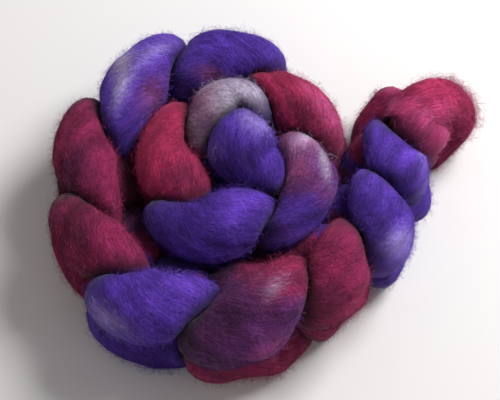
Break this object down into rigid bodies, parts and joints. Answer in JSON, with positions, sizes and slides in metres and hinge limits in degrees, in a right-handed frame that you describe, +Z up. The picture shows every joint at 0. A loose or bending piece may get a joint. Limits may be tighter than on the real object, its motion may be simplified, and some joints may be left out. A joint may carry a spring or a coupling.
{
  "type": "chain-plaited braid of combed wool top",
  "caption": "A soft braid of hand-dyed combed wool top, chained loop through loop and wound on edge into a flat spiral with a short tail; spinning fibre for hand spinning or felting.",
  "frame": {"origin": "on the resting surface, under the middle of the braid's box", "axes": "+X towards the tail's side, along the longest extent; +Y away from the front; +Z up, the shortest extent"},
  "size_m": [0.2282, 0.1818, 0.065],
  "materials": {
    "violet_top": "soft combed wool, matt with a faint sheen along the fibres",
    "magenta_top": "soft combed wool, matt with a faint sheen along the fibres",
    "plum_top": "soft combed wool, matt with a faint sheen along the fibres",
    "lavender_top": "soft combed wool, hardly dyed, matt with a faint sheen along the fibres"
  },
  "bodies": {
    "root": {"stitch_01_upper_leg": "violet_top", "stitch_01_lower_leg": "violet_top", "stitch_01_back_run": "violet_top", "stitch_02_upper_leg": "lavender_top", "stitch_02_lower_leg": "violet_top", "stitch_02_back_run": "plum_top", "stitch_03_upper_leg": "magenta_top", "stitch_03_lower_leg": "plum_top", "stitch_03_back_run": "magenta_top", "stitch_04_upper_leg": "violet_top", "stitch_04_lower_leg": "violet_top", "stitch_04_back_run": "violet_top", "stitch_05_upper_leg": "plum_top", "stitch_05_lower_leg": "magenta_top", "stitch_05_back_run": "plum_top", "stitch_06_upper_leg": "magenta_top", "stitch_06_lower_leg": "plum_top", "stitch_06_back_run": "magenta_top", "stitch_07_upper_leg": "violet_top", "stitch_07_lower_leg": "violet_top", "stitch_07_back_run": "violet_top", "stitch_08_upper_leg": "lavender_top", "stitch_08_lower_leg": "violet_top", "stitch_08_back_run": "violet_top", "stitch_09_upper_leg": "magenta_top", "stitch_09_lower_leg": "plum_top", "stitch_09_back_run": "plum_top", "stitch_10_upper_leg": "magenta_top", "stitch_10_lower_leg": "magenta_top", "stitch_10_back_run": "magenta_top", "stitch_11_upper_leg": "violet_top", "stitch_11_lower_leg": "violet_top", "stitch_11_back_run": "violet_top", "stitch_12_upper_leg": "magenta_top", "stitch_12_lower_leg": "magenta_top", "stitch_12_back_run": "plum_top", "stitch_13_upper_leg": "magenta_top", "stitch_13_lower_leg": "magenta_top", "stitch_13_back_run": "magenta_top", "stitch_14_upper_leg": "violet_top", "stitch_14_lower_leg": "violet_top", "stitch_14_back_run": "violet_top", "stitch_15_upper_leg": "violet_top", "stitch_15_lower_leg": "violet_top", "stitch_15_back_run": "violet_top", "stitch_16_upper_leg": "magenta_top", "stitch_16_lower_leg": "plum_top", "stitch_16_back_run": "magenta_top"}
  },
  "joints": []
}
